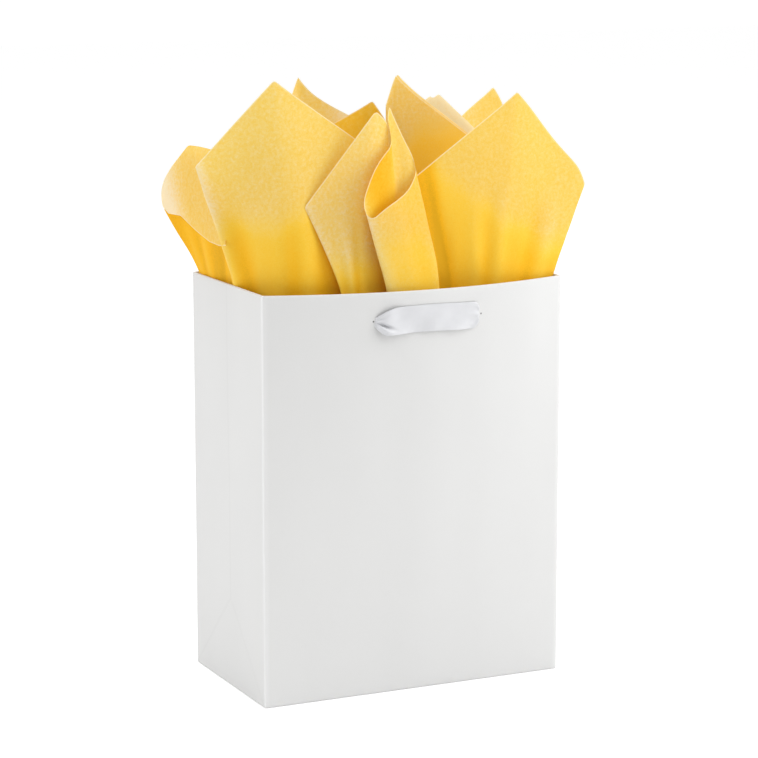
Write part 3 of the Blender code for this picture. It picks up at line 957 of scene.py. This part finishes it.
def card_material():
    """Uncoated white card with visible fibres."""
    material, tree, shader = new_material("white_card")
    fibres = texture_noise(tree, 900.0, 5.0, 0.65)
    tree.links.new(cloudy_colour(tree, fibres, CARD_SHADES), shader.inputs["Base Color"])
    shader.inputs["Roughness"].default_value = 0.85
    bump(tree, shader, fibres, 0.2, 0.15 * MM)
    return material


def satin_material():
    """White satin: fine ribs across the ribbon and a soft sheen along it."""
    material, tree, shader = new_material("ribbon_satin")
    place = add(tree, "ShaderNodeTexCoord")
    ribs = add(tree, "ShaderNodeTexWave", Scale=1400.0, Distortion=0.4, bands_direction="X")
    tree.links.new(place.outputs["Object"], ribs.inputs["Vector"])
    clouds = texture_noise(tree, 130.0, 2.0)
    tree.links.new(cloudy_colour(tree, clouds, SATIN_SHADES), shader.inputs["Base Color"])
    tree.links.new(remap(tree, clouds, 0.3, 0.7, 0.34, 0.46), shader.inputs["Roughness"])
    shader.inputs["Anisotropic"].default_value = 0.5
    shader.inputs["Sheen Weight"].default_value = 0.25
    shader.inputs["Sheen Roughness"].default_value = 0.4
    bump(tree, shader, ribs.outputs["Fac"], 0.12, 0.05 * MM)
    return material


def tissue_depth(tree, blotches, density):
    """How deep the tissue's yellow is, from its mesh layers and its cloudy fibres; the layers also carry
    painted shade, and painted light and shade in bands along the lengthwise folds.
    """
    grain = texture_noise(tree, 1500.0, 2.0, 0.6)
    mottle = math_node(tree, "MULTIPLY", remap(tree, blotches, 0.33, 0.67, -0.085, 0.085),
                       remap(tree, density, 0.0, 0.8, 1.0, 0.25))
    changes = (
        mottle,
        remap(tree, grain, 0.3, 0.7, -0.05, 0.05),
        # Painted light and shade: lighter and darker bands along the lengthwise folds
        math_node(tree, "MULTIPLY", attribute(tree, "flute"), -0.055),
        # Pale folds lighten; a negative pale paints the shadow of a neighbouring sheet
        math_node(tree, "MULTIPLY", attribute(tree, "pale"), -0.45),
    )
    depth = attribute(tree, "tone")
    for change in changes:
        depth = math_node(tree, "ADD", depth, change)
    return depth


def colour_ramp(tree, value, stops):
    """Colour that a value picks from a row of stops, from 0 to 1."""
    node = add(tree, "ShaderNodeValToRGB")
    tree.links.new(value, node.inputs["Fac"])
    elements = node.color_ramp.elements
    for position, _ in stops[1:-1]:
        elements.new(position)
    for element, (_, colour) in zip(elements, stops):
        element.color = (*colour, 1.0)
    return node.outputs["Color"]


def tissue_material():
    """Yellow tissue: cloudy fibres, light through the sheet, deeper colour where layers gather, partly
    painted shade.
    """
    material, tree, shader = new_material("tissue_yellow")
    blotches = texture_noise(tree, 520.0, 4.0, 0.62)
    density = attribute(tree, "dense")
    colour = colour_ramp(tree, tissue_depth(tree, blotches, density), TISSUE_RAMP)
    edge = remap(tree, attribute(tree, "edge"), 0.35 * MM, 0.9 * MM, 0.6, 0.0)
    colour = mix_colour(tree, edge, colour, TISSUE_EDGE)
    tree.links.new(colour, shader.inputs["Base Color"])
    shader.inputs["Roughness"].default_value = 0.62
    shader.inputs["Specular IOR Level"].default_value = 0.1
    normal = bump(tree, shader, blotches, 0.10, 0.3 * MM)
    through = add(tree, "ShaderNodeBsdfTranslucent")
    tree.links.new(colour, through.inputs["Color"])
    tree.links.new(normal, through.inputs["Normal"])
    mixed = add(tree, "ShaderNodeMixShader")
    tree.links.new(remap(tree, density, 0.0, 0.7, 0.24, 0.05), mixed.inputs["Fac"])
    tree.links.new(shader.outputs["BSDF"], mixed.inputs[1])
    tree.links.new(through.outputs["BSDF"], mixed.inputs[2])
    tree.links.new(mixed.outputs["Shader"], tree.nodes["Material Output"].inputs["Surface"])
    return material


def floor_material():
    """Plain pale floor that glows a little to the camera only."""
    material, tree, shader = new_material("pale_floor")
    shader.inputs["Base Color"].default_value = (0.9, 0.9, 0.9, 1.0)
    shader.inputs["Roughness"].default_value = 0.9
    shader.inputs["Specular IOR Level"].default_value = 0.1
    shader.inputs["Emission Color"].default_value = (1.0, 1.0, 1.0, 1.0)
    path = add(tree, "ShaderNodeLightPath")
    glow = math_node(tree, "MULTIPLY", path.outputs["Is Camera Ray"], 0.5)
    tree.links.new(glow, shader.inputs["Emission Strength"])
    return material


# ---------------------------------------------------------------- studio

VIEW_AZIMUTH = -25.28
VIEW_ELEVATION = 10.51
VIEW_DISTANCE = 1.62
LENS = 129.9
AIM = Vector((-0.0795 * WIDTH, -0.3426 * DEPTH, 0.7657 * HEIGHT))
# Softboxes: name, azimuth and elevation in degrees, distance in metres, power in watts
LAMP_SIZE = 1.2
LAMPS = (
    ("left_softbox", -105, 20, 1.6, 8.8),
    ("right_softbox", 60, 22, 1.6, 13.0),
    ("front_softbox", 0, 68, 1.6, 9.0),
    ("back_softbox", 150, 60, 1.5, 9.0),
)
WORLD_LIGHT = 0.55
WORLD_SEEN = 1.05
FLOOR_SIZE = 12.0
FLOOR_GAP = 0.2 * MM


def place_facing_aim(item, azimuth, elevation, distance):
    """Puts a camera or lamp at angles in degrees around the aim point; azimuth 0 is in front."""
    azimuth = math.radians(azimuth)
    elevation = math.radians(elevation)
    level = math.cos(elevation)
    toward = Vector((math.sin(azimuth) * level, -math.cos(azimuth) * level, math.sin(elevation)))
    item.location = AIM + toward * distance
    item.rotation_euler = toward.to_track_quat("Z", "Y").to_euler()
    bpy.context.scene.collection.objects.link(item)


def add_camera():
    """Camera at the viewing angle, made the scene's own."""
    data = bpy.data.cameras.new("camera")
    data.lens = LENS
    data.clip_end = 50.0
    camera = bpy.data.objects.new("camera", data)
    place_facing_aim(camera, VIEW_AZIMUTH, VIEW_ELEVATION, VIEW_DISTANCE)
    bpy.context.scene.camera = camera


def add_lamps():
    """Large softboxes around the bag."""
    for name, azimuth, elevation, distance, power in LAMPS:
        data = bpy.data.lights.new(name, "AREA")
        data.size = LAMP_SIZE
        data.energy = power
        place_facing_aim(bpy.data.objects.new(name, data), azimuth, elevation, distance)


def add_world():
    """Even white surroundings, whiter to the camera than to the object."""
    world = bpy.data.worlds.new("studio")
    world.use_nodes = True
    tree = world.node_tree
    background = tree.nodes["Background"]
    path = add(tree, "ShaderNodeLightPath")
    strength = remap(tree, path.outputs["Is Camera Ray"], 0.0, 1.0, WORLD_LIGHT, WORLD_SEEN)
    tree.links.new(strength, background.inputs["Strength"])
    background.inputs["Color"].default_value = (1.0, 1.0, 1.0, 1.0)
    bpy.context.scene.world = world


def add_floor():
    """Plain floor just under the bag."""
    bpy.ops.mesh.primitive_plane_add(size=FLOOR_SIZE, location=(0.0, 0.0, -FLOOR_GAP))
    floor = bpy.context.object
    floor.name = "floor"
    floor.data.materials.append(floor_material())


# ---------------------------------------------------------------- build

paper = paper_material()
bag_paper(paper)
bag_floor(paper)
card_nodes(card_material())
all_ribbon(satin_material())
all_tissue(tissue_material())
add_floor()
add_world()
add_lamps()
add_camera()
bpy.context.scene.view_settings.view_transform = "Standard"
bpy.context.scene.view_settings.look = "None"
